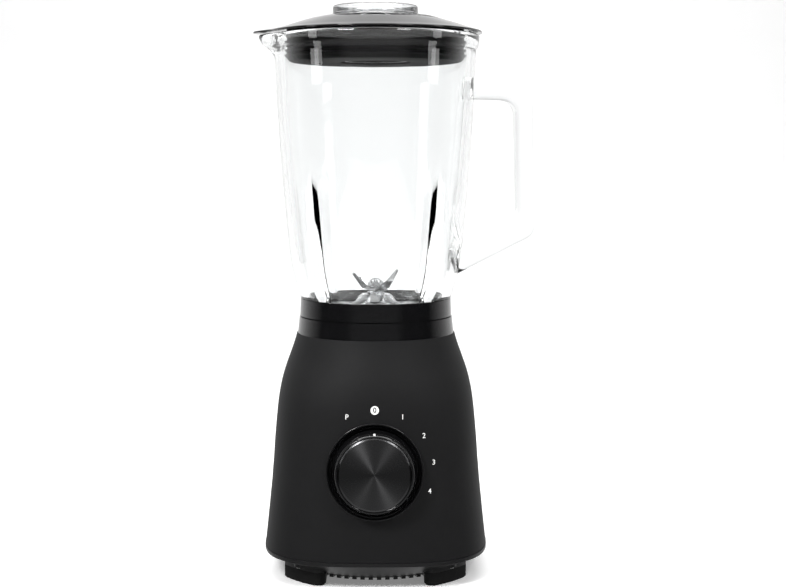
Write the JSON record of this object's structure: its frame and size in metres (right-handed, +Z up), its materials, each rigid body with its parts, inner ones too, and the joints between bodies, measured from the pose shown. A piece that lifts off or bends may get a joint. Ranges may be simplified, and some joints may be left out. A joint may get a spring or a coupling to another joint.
{
  "type": "countertop blender",
  "caption": "Tall countertop blender: flared glass jug with moulded handle and spout, domed lid with clear cap, blade unit, and a soft-square motor base with a round speed dial.",
  "frame": {"origin": "centre of the base on the plane that the rubber feet stand on, under the blade axis", "axes": "+Z up along the blade axis, -Y towards the dial, +X towards the jug's handle, -X towards the spout"},
  "size_m": [0.1946, 0.1657, 0.39],
  "materials": {
    "matte_black_shell": "soft matte moulded ABS",
    "black_cover": "satin moulded ABS",
    "black_rubber": "moulded rubber",
    "gloss_black": "high gloss moulded ABS",
    "zinc_steel": "zinc plated",
    "switch_body": "moulded nylon",
    "brass": "turned brass",
    "cast_aluminium": "die cast",
    "lamination_steel": "stacked laminations",
    "copper_enamel": "enamelled copper wire",
    "copper": "turned copper",
    "carbon": "pressed carbon",
    "white_nylon": "moulded nylon",
    "black_nylon": "moulded nylon",
    "clear_glass": "pressed clear glass",
    "clear_silicone": "translucent silicone",
    "blade_steel": "polished stainless steel",
    "clear_plastic": "clear moulded plastic",
    "spun_dark_metal": "spun and black anodised",
    "white_print": "white print"
  },
  "bodies": {
    "base": {"body_shell": "matte_black_shell", "bottom_cover": "black_cover", "rubber_feet": "black_rubber", "foot_screws": "zinc_steel", "seat_deck": "gloss_black", "seat_screws": "zinc_steel", "knob_bezel": "gloss_black", "rotary_switch": "switch_body", "switch_screws": "zinc_steel", "switch_terminals": "brass", "cord_gland": "black_rubber", "motor_upper_bracket": "cast_aluminium", "motor_lower_bracket": "cast_aluminium", "motor_bearings": "zinc_steel", "stator_core": "lamination_steel", "field_coils": "copper_enamel", "through_bolts": "zinc_steel", "motor_grommets": "black_rubber", "motor_screws": "zinc_steel", "brush_holders": "switch_body", "carbon_brushes": "carbon", "interlock_switch": "switch_body", "interlock_spring": "zinc_steel"},
    "interlock_pin": {"interlock_pin": "switch_body"},
    "motor_rotor": {"motor_shaft": "zinc_steel", "armature_core": "lamination_steel", "armature_winding": "copper_enamel", "commutator": "copper", "cooling_fan": "white_nylon", "drive_coupling": "black_nylon"},
    "jug": {"glass_jug": "clear_glass"},
    "blade_unit": {"jug_collar": "gloss_black", "holder_gasket": "clear_silicone", "blade_holder": "blade_steel", "blade_bushes": "brass", "shaft_seal": "black_rubber"},
    "blade_rotor": {"blade_shaft": "blade_steel", "upper_blade": "blade_steel", "serrated_blade": "blade_steel", "lower_blade": "blade_steel", "blade_washers": "blade_steel", "blade_nut": "blade_steel", "driven_coupling": "black_nylon", "coupling_clip": "zinc_steel"},
    "lid": {"lid_cover": "gloss_black", "lid_plug": "gloss_black", "lid_seal": "black_rubber"},
    "measuring_cup": {"measuring_cup": "clear_plastic"},
    "knob": {"knob": "gloss_black", "knob_disc": "spun_dark_metal", "knob_pointer": "white_print", "switch_shaft": "switch_body", "knob_clip": "zinc_steel"}
  },
  "joints": [
    {"name": "jug_lift", "type": "slide", "parent": "base", "child": "jug", "axis": [0, 0, 1], "range_m": [0, 0.15]},
    {"name": "blade_unit_unscrew", "type": "hinge", "parent": "jug", "child": "blade_unit", "pos_m": [0, 0, 0.18], "axis": [0, 0, 1], "range_deg": [-60, 0]},
    {"name": "blade_spin", "type": "hinge", "parent": "jug", "child": "blade_rotor", "pos_m": [0, 0, 0.185], "axis": [0, 0, 1], "continuous": true},
    {"name": "motor_spin", "type": "hinge", "parent": "base", "child": "motor_rotor", "pos_m": [0, 0, 0.1], "axis": [0, 0, 1], "continuous": true},
    {"name": "lid_lift", "type": "slide", "parent": "jug", "child": "lid", "axis": [0, 0, 1], "range_m": [0, 0.06]},
    {"name": "cup_lift", "type": "slide", "parent": "lid", "child": "measuring_cup", "axis": [0, 0, 1], "range_m": [0, 0.05]},
    {"name": "knob_turn", "type": "hinge", "parent": "base", "child": "knob", "pos_m": [0, -0.07122, 0.0796], "axis": [0, 0.9976, -0.0698], "range_deg": [-28, 112]},
    {"name": "interlock_travel", "type": "slide", "parent": "base", "child": "interlock_pin", "axis": [0, 0, 1], "range_m": [0, 0.003], "deforming": ["interlock_spring"]}
  ],
  "couplings": [
    {"joint": "blade_spin", "follows": "motor_spin", "ratio": 1},
    {"joint": "interlock_travel", "follows": "jug_lift", "ratio": 0.02}
  ]
}
